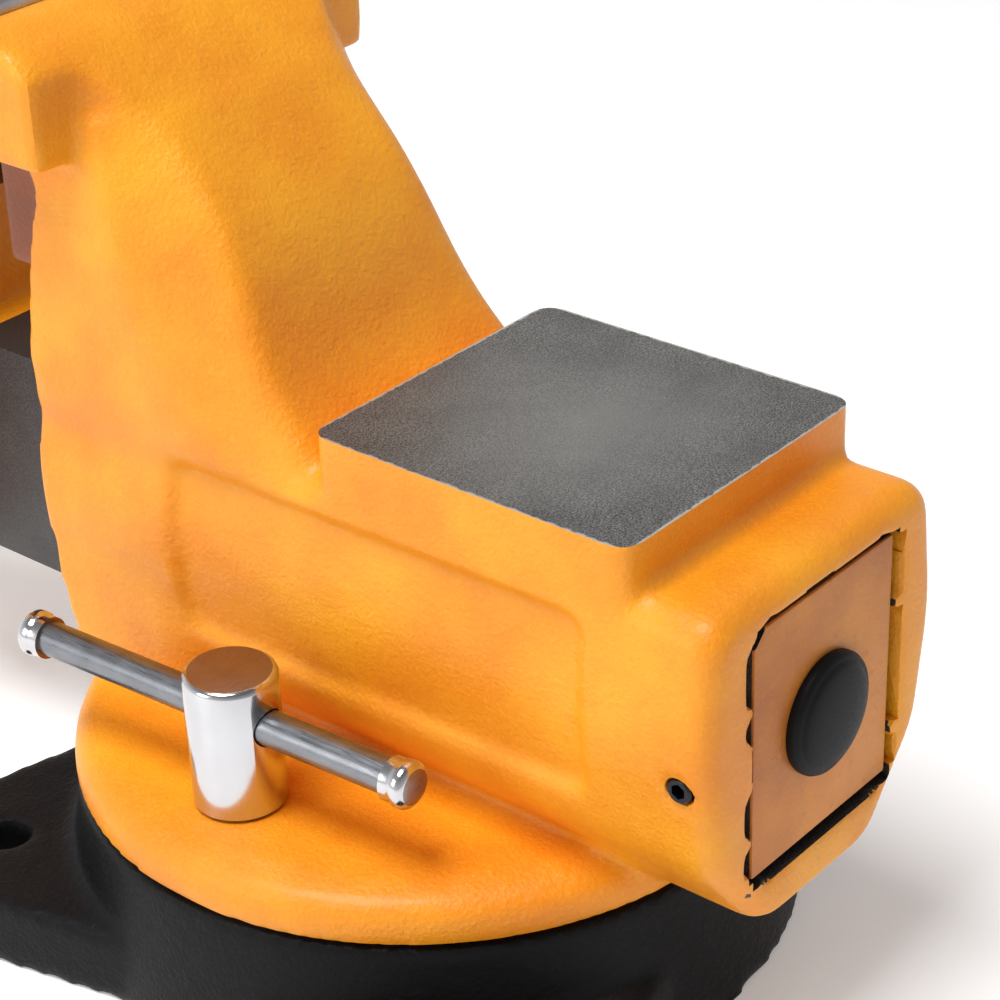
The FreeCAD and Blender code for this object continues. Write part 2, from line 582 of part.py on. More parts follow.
def lock_bar_caps(side):
    """Flanged button pressed on each end of the bar."""
    middle = LOCK_Y + LOCK_BAR_SHIFT
    half = LOCK_BAR_LENGTH / 2
    x = side * LOCK_X
    caps = []
    for end in (1, -1):
        face = middle + end * (half - 5)
        out = middle + end * (half + 1.5)
        low = min(face, out)
        high = max(face, out)
        flange = rod_y(LOCK_BAR_R + 1.4, x, LOCK_BAR_Z, low, high)
        bore = rod_y(LOCK_BAR_R, x, LOCK_BAR_Z, middle - half, middle + half)
        caps.append(about_lock(flange.cut(bore), side))
    return Part.makeCompound(caps)


# ---- moving jaw ----------------------------------------------------------------------
def front_column():
    """Column of the moving jaw: hugs the spindle boss and carries the head."""
    half = TUBE_HALF_WIDTH
    seat = FRONT_BACK_Y
    rows = [(SLIDE_BOTTOM - 8, seat - 2, seat - 38, half - 14, half - 18),
            (SPINDLE_Z, seat + 4, seat - 49, half - 6, half - 12),
            (SLIDE_TOP + 6, seat + 3, seat - 51, half - 3, half - 9),
            (PIPE_BOTTOM, seat, seat - 47, half - 3, half - 10),
            (HEAD_BOTTOM - 8, seat, seat - 38, half - 6, half - 13),
            (INSERT_BOTTOM, seat, seat - 29, half - 10.7, half - 16)]
    sections = []
    for z, back_y, front_y, back_half, front_half in rows:
        corners = [vec(back_half, back_y, z), vec(-back_half, back_y, z),
                   vec(-front_half, front_y, z), vec(front_half, front_y, z)]
        sections.append(rounded_wire(corners, [3, 3, 12, 12]))
    return Part.makeLoft(sections, True, False)


def front_jaw_casting():
    bar = block(-SLIDE_HALF, SLIDE_HALF, CHANNEL_FRONT_Y - 4, SLIDE_END_Y, SLIDE_BOTTOM, SLIDE_TOP)
    long_edges = [e for e in bar.Edges if e.BoundBox.YLength > 50]
    bar = bar.makeChamfer(1.5, long_edges)
    boss = rod_y(SPINDLE_R + 13, 0, SPINDLE_Z, BOSS_FACE_Y, FRONT_BACK_Y - 30)
    adds = [bar, boss, across_gap(jaw_head()), across_gap(pipe_block())]
    half = CHANNEL_HALF
    back = SLIDE_END_Y - SLIDE_WALL
    channel = block(-half, half, CHANNEL_FRONT_Y, back, SLIDE_BOTTOM - 12, CHANNEL_TOP)
    bore = rod_y(SPINDLE_R + RUNNING, 0, SPINDLE_Z, BOSS_FACE_Y - 1, CHANNEL_FRONT_Y + 1)
    plug_hole = rod_y(PLUG_STEM_R, 0, SPINDLE_Z, SLIDE_END_Y - SLIDE_WALL - 1, SLIDE_END_Y + 1)
    cuts = [channel, bore, plug_hole, across_gap(pipe_pocket())]
    cuts += [across_gap(hole) for hole in screw_holes()]
    return front_column().fuse(adds).removeSplitter().cut(cuts)


def slide_end_plug():
    """Push-in plug: domed cap outside, hollow stem in the slide's end wall."""
    dome_rise = 4.5
    sphere_r = (PLUG_R ** 2 + (dome_rise - 2) ** 2) / (2 * (dome_rise - 2))
    rim = rod_y(PLUG_R, 0, SPINDLE_Z, SLIDE_END_Y, SLIDE_END_Y + dome_rise)
    ball = Part.makeSphere(sphere_r, vec(0, SLIDE_END_Y + dome_rise - sphere_r, SPINDLE_Z))
    stem = rod_y(PLUG_STEM_R - FITTED, 0, SPINDLE_Z, SLIDE_END_Y - SLIDE_WALL - 2, SLIDE_END_Y + 1)
    hollow = rod_y(PLUG_STEM_R - 2, 0, SPINDLE_Z, SLIDE_END_Y - SLIDE_WALL - 3, SLIDE_END_Y - 1)
    return rim.common(ball).fuse(stem).removeSplitter().cut(hollow)


# ---- spindle and handle --------------------------------------------------------------
def spindle_screw():
    head = rod_y(SPINDLE_HEAD_R, 0, SPINDLE_Z, HEAD_BACK_Y - HEAD_LENGTH, HEAD_BACK_Y)
    ends = [e for e in head.Edges if abs(e.BoundBox.YLength) < 0.01]
    head = head.makeChamfer(2.0, ends)
    flange = rod_y(SPINDLE_HEAD_R + 2, 0, SPINDLE_Z, HEAD_BACK_Y, HEAD_BACK_Y + FLANGE_THICK)
    shank = rod_y(SPINDLE_R, 0, SPINDLE_Z, HEAD_BACK_Y, SPINDLE_END_Y)
    tip = [e for e in shank.Edges if e.BoundBox.YMin > SPINDLE_END_Y - 0.01]
    shank = shank.makeChamfer(1.5, tip)
    cross = rod_x(HANDLE_R + RUNNING, HANDLE_Y, SPINDLE_Z, -SPINDLE_HEAD_R - 5, SPINDLE_HEAD_R + 5)
    reach = SPINDLE_R + 2
    pin_hole = rod_z(PIN_R, 0, COLLAR_FRONT + COLLAR_WIDTH / 2, SPINDLE_Z - reach, SPINDLE_Z + reach)
    return head.fuse([flange, shank]).removeSplitter().cut([cross, pin_hole])


def spindle_ring(y0, width, outer_r):
    ring = rod_y(outer_r, 0, SPINDLE_Z, y0, y0 + width)
    return ring.cut(rod_y(SPINDLE_R + SEAT, 0, SPINDLE_Z, y0 - 1, y0 + width + 1))


def spindle_collar():
    hole = rod_z(PIN_R, 0, COLLAR_FRONT + COLLAR_WIDTH / 2, SPINDLE_Z - 20, SPINDLE_Z + 20)
    return spindle_ring(COLLAR_FRONT, COLLAR_WIDTH, COLLAR_R).cut(hole)


def spindle_collar_pin():
    return rod_z(PIN_R - FITTED, 0, COLLAR_FRONT + COLLAR_WIDTH / 2, SPINDLE_Z - COLLAR_R + 0.5,
                 SPINDLE_Z + COLLAR_R - 0.5)


def spindle_spring():
    """Takes up the end play; four closely wound turns."""
    turns = 4
    first = SPRING_FRONT + SPRING_WIRE
    rings = []
    step = (SPRING_LENGTH - 2 * SPRING_WIRE) / (turns - 1)
    for i in range(turns):
        centre = vec(0, first + i * step, SPINDLE_Z)
        rings.append(Part.makeTorus(SPRING_R, SPRING_WIRE, centre, vec(0, 1, 0)))
    link = rod_y(SPRING_WIRE * 0.6, SPRING_R, SPINDLE_Z, first, SPRING_BACK - SPRING_WIRE)
    return rings[0].fuse(rings[1:] + [link]).removeSplitter()


def handle_bar():
    return rod_x(HANDLE_R, HANDLE_Y, SPINDLE_Z, -HANDLE_LENGTH / 2, HANDLE_LENGTH / 2)


def handle_knob(side):
    """Ball pressed on the end of the handle, flattened at its tip."""
    centre = side * (HANDLE_LENGTH / 2 - 5)
    ball = Part.makeSphere(KNOB_R, vec(centre, HANDLE_Y, SPINDLE_Z))
    reach = KNOB_R * 0.88
    ball = ball.common(rod_x(KNOB_R + 1, HANDLE_Y, SPINDLE_Z, centre - reach, centre + reach))
    inner = side * (HANDLE_LENGTH / 2 - 30)
    outer = side * HANDLE_LENGTH / 2
    return ball.cut(rod_x(HANDLE_R, HANDLE_Y, SPINDLE_Z, min(inner, outer), max(inner, outer)))


# ---- the whole vise --------------------------------------------------------------------
def main():
    os.makedirs("parts", exist_ok=True)
    save("base_casting", base_casting())
    save("body_casting", body_casting())
    save("rear_jaw_insert", jaw_insert())
    save("rear_jaw_screws", jaw_screws())
    save("rear_pipe_jaw", pipe_jaw())
    save("rear_pipe_jaw_screws", pipe_jaw_screws())
    save("spindle_nut", spindle_nut())
    save("spindle_nut_washer", nut_washer())
    save("spindle_nut_bolt", nut_bolt())
    save("slide_set_screw", slide_set_screw())
    save("slide_pad", slide_pad())
    for side, name in ((1, "right"), (-1, "left")):
        save("lock_bolt_" + name, lock_bolt(side))
        save("lock_nut_" + name, lock_nut(side))
        save("lock_bar_" + name, lock_bar(side))
        save("lock_bar_caps_" + name, lock_bar_caps(side))
        save("handle_knob_" + name, handle_knob(side))
    save("front_jaw_casting", front_jaw_casting())
    save("front_jaw_insert", across_gap(jaw_insert()))
    save("front_jaw_screws", across_gap(jaw_screws()))
    save("front_pipe_jaw", across_gap(pipe_jaw()))
    save("front_pipe_jaw_screws", across_gap(pipe_jaw_screws()))
    save("slide_end_plug", slide_end_plug())
    save("spindle_screw", spindle_screw())
    save("spindle_thrust_washer", spindle_ring(HEAD_BACK_Y + FLANGE_THICK, WASHER_THICK, SPINDLE_HEAD_R + 1))
    save("spindle_spring", spindle_spring())
    save("spindle_spring_washer", spindle_ring(SPRING_BACK, WASHER_THICK, COLLAR_R))
    save("spindle_collar", spindle_collar())
    save("spindle_collar_pin", spindle_collar_pin())
    save("handle_bar", handle_bar())


main()
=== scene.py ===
import json
import math
import bpy
from mathutils import Matrix, Vector


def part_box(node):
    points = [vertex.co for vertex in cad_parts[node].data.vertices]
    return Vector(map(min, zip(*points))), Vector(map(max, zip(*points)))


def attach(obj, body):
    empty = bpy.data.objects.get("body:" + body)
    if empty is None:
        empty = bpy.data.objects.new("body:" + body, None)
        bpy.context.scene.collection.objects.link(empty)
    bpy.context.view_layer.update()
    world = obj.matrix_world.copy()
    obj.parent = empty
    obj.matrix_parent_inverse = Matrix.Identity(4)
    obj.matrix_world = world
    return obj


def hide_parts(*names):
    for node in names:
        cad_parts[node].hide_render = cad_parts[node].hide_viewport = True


# Bench vise with a swivel base. Everything below is in millimetres in the frame's own axes:
# +Z up, +Y towards the back of the vise, the operator's right at +X.
MM = 0.001

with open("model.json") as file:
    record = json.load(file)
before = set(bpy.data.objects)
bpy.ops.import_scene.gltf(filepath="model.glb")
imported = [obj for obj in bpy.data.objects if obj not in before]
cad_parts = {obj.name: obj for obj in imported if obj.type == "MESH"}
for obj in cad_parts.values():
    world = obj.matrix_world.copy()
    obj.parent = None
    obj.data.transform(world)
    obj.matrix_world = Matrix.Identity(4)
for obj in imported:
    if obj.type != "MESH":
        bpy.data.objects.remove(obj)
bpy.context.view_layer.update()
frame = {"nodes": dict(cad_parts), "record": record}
MOUNTS = {mount["name"]: Vector(mount["pos_m"]) / MM for mount in frame["record"]["mounts"]}


def place_of(node):
    low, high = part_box(node)
    return low / MM, high / MM


def middle_of(node):
    low, high = place_of(node)
    return (low + high) / 2


# ---- places taken from the frame, and sizes that several pieces share ----------------
ANVIL_HALF = Vector((39.0, 41.1, 0))
ANVIL_LOW = MOUNTS["anvil_face"] - ANVIL_HALF
ANVIL_HIGH = MOUNTS["anvil_face"] + ANVIL_HALF
ANVIL_TOP = MOUNTS["anvil_face"].z
SPINDLE_Z = middle_of("spindle_screw").z
SPINDLE_FRONT = place_of("spindle_screw")[0].y
SPINDLE_END = place_of("spindle_screw")[1].y
HANDLE = middle_of("handle_bar")
INSERT_LOW, INSERT_HIGH = place_of("rear_jaw_insert")
JAW_MID_Y = (INSERT_LOW.y + place_of("front_jaw_insert")[1].y) / 2
BODY_REAR = place_of("body_casting")[1].y
SLIDE_END = place_of("front_jaw_casting")[1].y
PLUG_HIGH = place_of("slide_end_plug")[1].y
SLIDE_HALF = 24.5
SLIDE_LOW = SPINDLE_Z - 28.0
SLIDE_HIGH = SPINDLE_Z + 30.0
CHANNEL_HALF = 16.5
SLIDE_WALL = 8.0
COLUMN_BACK = 2 * JAW_MID_Y - INSERT_HIGH.y
INSERT_SCREWS_X = (-32.0, 32.0)
PIPE_SCREWS_X = (-20.0, 20.0)
LOCK_TURN = math.radians(3.0)
HANDLE_R = 6.5
JOURNAL_LENGTH = 60.0
THREAD_PITCH = 5.0
CHEEK_BACK = -68.0
CHEEK_HALF = 37.5
HEAD_LOW = INSERT_LOW.z - 9.5
PIPE_LOW = place_of("rear_pipe_jaw")[0].z - 2


# ---- modelling helpers ---------------------------------------------------------------
def only(piece):
    bpy.ops.object.select_all(action="DESELECT")
    piece.select_set(True)
    bpy.context.view_layer.objects.active = piece


def settle(piece, name):
    """Puts the object's place, turn and scale into its mesh."""
    piece.name = name
    only(piece)
    bpy.ops.object.transform_apply(location=True, rotation=True, scale=True)
    return piece


def modified(piece, kind, **settings):
    only(piece)
    modifier = piece.modifiers.new(kind.lower(), kind)
    for key, value in settings.items():
        setattr(modifier, key, value)
    bpy.ops.object.modifier_apply(modifier=modifier.name)
    return piece


def cleaned(piece, merge=0.001):
    """Joins doubled points and turns every face outwards."""
    only(piece)
    bpy.ops.object.mode_set(mode="EDIT")
    bpy.ops.mesh.select_all(action="SELECT")
    bpy.ops.mesh.remove_doubles(threshold=merge * MM)
    bpy.ops.mesh.normals_make_consistent(inside=False)
    bpy.ops.object.mode_set(mode="OBJECT")
    return piece


def block(name, low, high):
    bpy.ops.object.select_all(action="DESELECT")
    bpy.ops.mesh.primitive_cube_add(size=MM, location=(Vector(low) + Vector(high)) / 2 * MM)
    piece = bpy.context.object
    piece.scale = Vector(high) - Vector(low)
    return settle(piece, name)


def rod(name, radius, start, stop, sides=64):
    """A cylinder from one point to another."""
    way = Vector(stop) - Vector(start)
    bpy.ops.object.select_all(action="DESELECT")
    bpy.ops.mesh.primitive_cylinder_add(vertices=sides, radius=radius * MM, depth=way.length * MM,
                                        location=(Vector(start) + Vector(stop)) / 2 * MM,
                                        rotation=way.to_track_quat("Z", "Y").to_euler())
    return settle(bpy.context.object, name)


AXES = {"X": (0, math.pi / 2, 0), "Y": (-math.pi / 2, 0, 0), "Z": (0, 0, 0)}


def drawn(points):
    """A line of points in the lathe's (radius, height) plane, extruded from one to the next."""
    bpy.ops.object.select_all(action="DESELECT")
    bpy.ops.mesh.primitive_plane_add(size=MM)
    bpy.ops.object.mode_set(mode="EDIT")
    bpy.ops.mesh.select_mode(type="VERT")
    bpy.ops.mesh.select_all(action="SELECT")
    bpy.ops.mesh.merge(type="CENTER")
    bpy.ops.transform.translate(value=Vector((points[0][0], 0, points[0][1])) * MM)
    for here, there in zip(points, points[1:]):
        step = Vector((there[0] - here[0], 0, there[1] - here[1])) * MM
        bpy.ops.mesh.extrude_region_move(TRANSFORM_OT_translate={"value": step})
    bpy.ops.object.mode_set(mode="OBJECT")
    return bpy.context.object


def spun(piece, steps, **settings):
    """One turn of the lathe, or a helix when screw_offset is given."""
    modified(piece, "SCREW", steps=steps, render_steps=steps, use_merge_vertices=True,
             merge_threshold=0.001 * MM, **settings)


def ends_closed(helix):
    """Fills the open ends of a coil and turns its faces outwards."""
    cleaned(helix)
    bpy.ops.object.mode_set(mode="EDIT")
    bpy.ops.mesh.select_mode(type="EDGE")
    bpy.ops.mesh.select_all(action="DESELECT")
    bpy.ops.mesh.select_non_manifold()
    bpy.ops.mesh.edge_face_add()
    bpy.ops.object.mode_set(mode="OBJECT")
    return cleaned(helix)


def turned(name, outline, centre, axis="Z", swing=0.0, steps=72):
    """Lathe work: (radius, height) points spun about the axis through centre."""
    piece = drawn(outline)
    spun(piece, steps)
    cleaned(piece)
    piece.rotation_euler = AXES[axis]
    piece.rotation_euler.z += swing
    piece.location = Vector(centre) * MM
    return settle(piece, name)


def carved(piece, *tools, operation="DIFFERENCE"):
    for tool in tools:
        modified(piece, "BOOLEAN", object=tool, operation=operation, solver="EXACT")
        bpy.data.objects.remove(tool)
    return piece


def joined(name, *pieces):
    only(pieces[0])
    for piece in pieces:
        piece.select_set(True)
    bpy.ops.object.join()
    pieces[0].name = name
    return pieces[0]


def rounded(piece, width, segments=3, angle=35.0):
    return modified(piece, "BEVEL", width=width * MM, segments=segments, limit_method="ANGLE",
                    angle_limit=math.radians(angle), use_clamp_overlap=True)


def mirrored(name, piece, plane_x=None, plane_y=None):
    """A copy on the other side of a plane across X or Y."""
    twin = piece.copy()
    twin.data = piece.data.copy()
    bpy.context.collection.objects.link(twin)
    if plane_x is not None:
        twin.scale.x = -1
        twin.location.x = 2 * plane_x * MM
    if plane_y is not None:
        twin.scale.y = -1
        twin.location.y = 2 * plane_y * MM
    settle(twin, name)
    return cleaned(twin)


def copied_from_frame(node, name):
    piece = bpy.data.objects.new(name, frame["nodes"][node].data.copy())
    bpy.context.collection.objects.link(piece)
    only(piece)
    bpy.ops.mesh.customdata_custom_splitnormals_clear()
    return cleaned(piece)


def choose_faces(piece, test):
    """Leaves the piece in edit mode with the faces that pass the test selected."""
    only(piece)
    bpy.ops.object.mode_set(mode="EDIT")
    bpy.ops.mesh.select_mode(type="FACE")
    bpy.ops.mesh.select_all(action="DESELECT")
    bpy.ops.object.mode_set(mode="OBJECT")
    for face in piece.data.polygons:
        face.select = test(face.center / MM, face.normal)
    bpy.ops.object.mode_set(mode="EDIT")


def stocked(piece, test, move):
    """Adds material on chosen faces, to be machined off again after the edges are rounded."""
    choose_faces(piece, test)
    bpy.ops.mesh.extrude_region_move(TRANSFORM_OT_translate={"value": Vector(move) * MM})
    bpy.ops.object.mode_set(mode="OBJECT")


def softened(piece, rounds, weight=None):
    """Rounds edges and corners as a sand mould does; weight(point) says where and how much."""
    settings = {"factor": 0.5, "iterations": rounds}
    if weight:
        group = piece.vertex_groups.new(name="soft")
        for vertex in piece.data.vertices:
            share = weight(vertex.co / MM)
            if share > 0.01:
                group.add([vertex.index], min(share, 1.0), "REPLACE")
        settings["vertex_group"] = "soft"
    modified(piece, "SMOOTH", **settings)
    piece.vertex_groups.clear()


def near(value, centre, reach):
    """1 at the centre, fading to 0 at reach."""
    return max(0.0, 1.0 - abs(value - centre) / reach)


def finished(piece, body, slot, finishes, *nodes, angle=35.0):
    only(piece)
    bpy.ops.object.shade_smooth_by_angle(angle=math.radians(angle))
    piece.data.materials.clear()
    for finish in finishes if isinstance(finishes, list) else [finishes]:
        piece.data.materials.append(finish)
    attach(piece, body)
    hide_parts(*nodes)
    return piece


def painted_faces(piece, index, test):
    for face in piece.data.polygons:
        if test(face.center / MM, face.normal):
            face.material_index = index


# ---- finishes ------------------------------------------------------------------------
BLACK = (0.006, 0.006, 0.007)
BARE_EDGE = (0.62, 0.60, 0.55)


class Finish:
    """A material being put together, with short calls for the nodes that it uses."""

    def __init__(self, name, colour, **shader):
        self.material = bpy.data.materials.new(name)
        self.material.use_nodes = True
        self.tree = self.material.node_tree
        self.shader = self.tree.nodes["Principled BSDF"]
        self.shader.inputs["Base Color"].default_value = (*colour, 1)
        self.place = self.node("ShaderNodeTexCoord").outputs["Object"]
        self.relief = None
        for socket, value in shader.items():
            self.shader.inputs[socket.replace("_", " ")].default_value = value

    def node(self, kind, wires=None, **settings):
        node = self.tree.nodes.new(kind)
        for key, value in settings.items():
            setattr(node, key, value)
        for socket, value in (wires or {}).items():
            if isinstance(value, bpy.types.NodeSocket):
                self.tree.links.new(value, node.inputs[socket])
            else:
                node.inputs[socket].default_value = value
        return node

    def noise(self, per_mm, detail=2.0, stretch=(1, 1, 1), roughness=0.5):
        place = self.node("ShaderNodeMapping", {"Vector": self.place, "Scale": stretch}).outputs[0]
        wires = {"Vector": place, "Scale": per_mm / MM, "Detail": detail, "Roughness": roughness}
        return self.node("ShaderNodeTexNoise", wires).outputs["Fac"]

    def cells(self, per_mm, randomness=1.0):
        wires = {"Vector": self.place, "Scale": per_mm / MM, "Randomness": randomness}
        return self.node("ShaderNodeTexVoronoi", wires).outputs["Distance"]

    def spread(self, value, low, high, to_low=0.0, to_high=1.0):
        wires = {"Value": value, "From Min": low, "From Max": high, "To Min": to_low, "To Max": to_high}
        return self.node("ShaderNodeMapRange", wires).outputs["Result"]

    def maths(self, operation, a, b=0.0):
        return self.node("ShaderNodeMath", {0: a, 1: b}, operation=operation).outputs[0]

    def mix(self, factor, a, b):
        """Between two colours, each a plain one or another node's."""
        a, b = (tone if isinstance(tone, bpy.types.NodeSocket) else (*tone, 1) for tone in (a, b))
        return self.node("ShaderNodeMix", {0: factor, 6: a, 7: b}, data_type="RGBA").outputs[2]

    def along(self, axis):
        return self.node("ShaderNodeSeparateXYZ", {0: self.place}).outputs[axis]

    def colour(self, value):
        self.tree.links.new(value, self.shader.inputs["Base Color"])

    def roughness(self, value):
        self.tree.links.new(value, self.shader.inputs["Roughness"])

    def bump(self, height, depth, strength=1.0):
        wires = {"Height": height, "Distance": depth * MM, "Strength": strength}
        if self.relief:
            wires["Normal"] = self.relief
        self.relief = self.node("ShaderNodeBump", wires).outputs["Normal"]
        self.tree.links.new(self.relief, self.shader.inputs["Normal"])


def cast_paint(name, colour, dark, light, roughness, relief, gloss=0.35, coat=0.12):
    """Enamel over a sand-cast skin: fine grain, shallow lumps and a mottled film."""
    finish = Finish(name, colour, Roughness=roughness, Specular_IOR_Level=gloss, Coat_Weight=coat,
                    Coat_Roughness=0.2)
    cloud = finish.noise(0.03, 3)
    grain = finish.noise(1.0, 4, roughness=0.6)
    lumps = finish.noise(0.2, 3)
    tone = finish.mix(finish.spread(cloud, 0.36, 0.66), dark, colour)
    tone = finish.mix(finish.spread(grain, 0.52, 0.8, 0, 0.4), tone, light)
    tone = finish.mix(finish.spread(finish.noise(0.5, 4), 0.6, 0.75, 0, 0.45), tone, dark)
    finish.colour(tone)
    finish.roughness(finish.spread(grain, 0.3, 0.7, roughness - 0.08, roughness + 0.1))
    finish.bump(lumps, 0.8 * relief, 0.4)
    finish.bump(grain, 0.55 * relief, 0.6)
    finish.bump(finish.cells(0.6), 0.2 * relief, 0.4)
    return finish.material


def machined_iron(name, dark, light, roughness, rim=None):
    """Ground cast iron; a rim rectangle gets a bright worn edge and a middle that is lighter."""
    finish = Finish(name, light, Metallic=0.75, Roughness=roughness)
    speckle = finish.noise(2.4, 2, roughness=0.7)
    blotch = finish.noise(0.06, 3)
    tone = finish.mix(finish.spread(speckle, 0.36, 0.66), dark, light)
    tone = finish.mix(finish.spread(blotch, 0.35, 0.7, 0, 0.35), tone, dark)
    if rim:
        low, high = rim
        middle = (low + high) / 2 * MM
        half = (high - low) / 2 * MM
        across = finish.maths("ABSOLUTE", finish.maths("SUBTRACT", finish.along("X"), middle.x))
        along = finish.maths("ABSOLUTE", finish.maths("SUBTRACT", finish.along("Y"), middle.y))
        out = finish.maths("MAXIMUM", finish.maths("SUBTRACT", across, half.x),
                           finish.maths("SUBTRACT", along, half.y))
        ragged = finish.maths("MULTIPLY", finish.noise(0.5, 4), 1.6 * MM)
        centre = finish.maths("ADD", finish.maths("MULTIPLY", across, across),
                              finish.maths("MULTIPLY", along, along))
        drift = finish.maths("MULTIPLY", finish.noise(0.04, 2), 36.0 * MM)
        centre = finish.maths("ADD", finish.maths("SQRT", centre), drift)
        # lighter towards the middle of the face
        lighter_middle = finish.spread(centre, 22 * MM, 62 * MM, 0.55, 0.0)
        tone = finish.mix(lighter_middle, tone, light)
        worn = finish.spread(finish.maths("ADD", out, ragged), 0.1 * MM, 0.5 * MM)
        tone = finish.mix(worn, tone, BARE_EDGE)
    finish.colour(tone)
    finish.roughness(finish.spread(speckle, 0.3, 0.7, roughness - 0.1, roughness + 0.12))
    finish.bump(speckle, 0.04, 0.5)
    return finish.material


def bright_steel(name, colour, roughness, drawn_along=None, grain=0.5):
    """Plated or ground steel with fine lines along one axis."""
    finish = Finish(name, colour, Metallic=1.0, Roughness=roughness)
    stretch = [1.0, 1.0, 1.0]
    if drawn_along:
        stretch["XYZ".index(drawn_along)] = 0.04
    lines = finish.noise(3.0, 3, tuple(stretch), 0.7)
    smear = finish.noise(0.12, 3)
    dull = tuple(channel * 0.72 for channel in colour)
    finish.colour(finish.mix(finish.spread(smear, 0.4, 0.75, 0, grain), colour, dull))
    finish.roughness(finish.spread(lines, 0.25, 0.75, roughness * 0.7, roughness * 1.5))
    finish.bump(lines, 0.02, grain * 0.5)
    return finish.material


def moulded_black(name):
    finish = Finish(name, (0.010, 0.010, 0.011), Roughness=0.45, Specular_IOR_Level=0.08)
    grain = finish.noise(2.0, 2)
    finish.roughness(finish.spread(grain, 0.3, 0.7, 0.36, 0.5))
    finish.bump(grain, 0.02, 0.4)
    return finish.material


FINISHES = {
    "paint_orange": cast_paint("orange_enamel", (0.92, 0.36, 0.010), dark=(0.82, 0.255, 0.006),
                               light=(0.97, 0.46, 0.025), roughness=0.42, relief=1.0),
    "paint_end": cast_paint("orange_enamel_thin", (0.66, 0.23, 0.025), dark=(0.42, 0.12, 0.016),
                            light=(0.80, 0.33, 0.05), roughness=0.5, relief=0.6),
    # painted shade: a dark brown-orange for the pipe block's cheeks, which lie in the shadow under the
    # jaw head
    "cheek_painted_shade": cast_paint("orange_enamel_painted_shade", (0.30, 0.085, 0.02), dark=(0.20, 0.05, 0.014),
                              light=(0.42, 0.14, 0.04), roughness=0.5, relief=0.6),
    "paint_black": cast_paint("black_enamel", BLACK, dark=(0.004, 0.004, 0.004),
                              light=(0.011, 0.011, 0.011), roughness=0.45, relief=0.7,
                              gloss=0.1, coat=0.03),
    "anvil": machined_iron("ground_iron", (0.04, 0.04, 0.04), (0.37, 0.36, 0.345), 0.46,
                           rim=(ANVIL_LOW, ANVIL_HIGH)),
    # the slide's ground iron; on the slideway's faces its dark tone is also painted shade for the deep
    # gap
    "slide": machined_iron("dark_ground_iron", (0.022, 0.022, 0.024), (0.13, 0.125, 0.12), 0.5),
    "jaw_steel": bright_steel("jaw_steel", (0.50, 0.50, 0.51), 0.30, "X", 0.6),
    "black_oxide": bright_steel("black_oxide_steel", (0.04, 0.04, 0.045), 0.35, None, 0.4),
    "nut_iron": machined_iron("nut_iron", (0.06, 0.058, 0.055), (0.24, 0.23, 0.22), 0.5),
    "zinc_steel": bright_steel("zinc_steel", (0.60, 0.60, 0.58), 0.28, None, 0.5),
    "chrome_plate": bright_steel("chrome_plate", (0.62, 0.62, 0.64), 0.14, "Z", 0.3),
    # painted reflection: a brown chrome for flat faces that mirror the orange body
    "chrome_painted_reflection": bright_steel("chrome_painted_reflection", (0.30, 0.235, 0.205), 0.30, "X", 0.6),
    # painted reflection and shade: the pipe jaw steel is coloured dark brown for the orange body it
    # mirrors
    "pipe_steel_painted_reflection": bright_steel("pipe_jaw_steel_painted_reflection", (0.26, 0.105, 0.04), 0.36, "X", 0.5),
    "bar_steel": bright_steel("bar_steel", (0.25, 0.26, 0.28), 0.30, "Y", 0.8),
    "handle_steel": bright_steel("handle_steel", (0.50, 0.50, 0.51), 0.22, "X", 0.5),
    "spindle_steel": bright_steel("spindle_steel", (0.46, 0.46, 0.46), 0.26, None, 0.5),
    "spring_steel": bright_steel("spring_steel", (0.28, 0.28, 0.30), 0.30, None, 0.5),
    "brass_pad": bright_steel("brass_pad", (0.78, 0.56, 0.24), 0.30, None, 0.5),
    "plug_plastic": moulded_black("plug_black"),
}


# ---- the fixed body --------------------------------------------------------------------
def slideway_tool():
    """Cuts the ragged mouth of the slideway and its relief pockets."""
    half = SLIDE_HALF + 0.35
    start = BODY_REAR - 10
    stop = BODY_REAR + 6
    height = SLIDE_HIGH - SLIDE_LOW
    tools = [block("mouth", (-half - 0.7, start - 14, SLIDE_LOW - 2.2),
                   (half, stop, SLIDE_HIGH + 1.3))]
    # Side, then the low and high ends as shares of the slide's height, then the depth.
    pockets = [(1, 0.0, 0.16, 1.4), (1, 0.2, 0.37, 0.9), (1, 0.43, 0.56, 1.3), (1, 0.6, 0.74, 0.8),
               (1, 0.79, 0.98, 1.5), (-1, 0.02, 0.13, 2.6), (-1, 0.2, 0.69, 3.1), (-1, 0.76, 0.86, 1.2),
               (-1, 0.9, 1.0, 3.0)]
    for side, low, high, depth in pockets:
        wall = side * (half + depth)
        back = start + (0 if side > 0 else 3)
        z0 = SLIDE_LOW + low * height
        z1 = SLIDE_LOW + high * height
        tools.append(block("pocket", (min(0, wall), back, z0), (max(0, wall), stop, z1)))
    for x0, x1, rise in ((-20, -7, 1.8), (-2, 8, 2.4), (12, 21, 1.7)):
        tools.append(block("pocket", (x0, start, SLIDE_HIGH - 5), (x1, stop, SLIDE_HIGH + rise)))
    return tools


def in_slideway(at):
    """Inside the bore of the body, behind its rear rim."""
    return (abs(at.x) < SLIDE_HALF + 1.3 and SLIDE_LOW - 4 < at.z < SLIDE_HIGH + 1.5
            and CHEEK_BACK < at.y < BODY_REAR - 0.8)


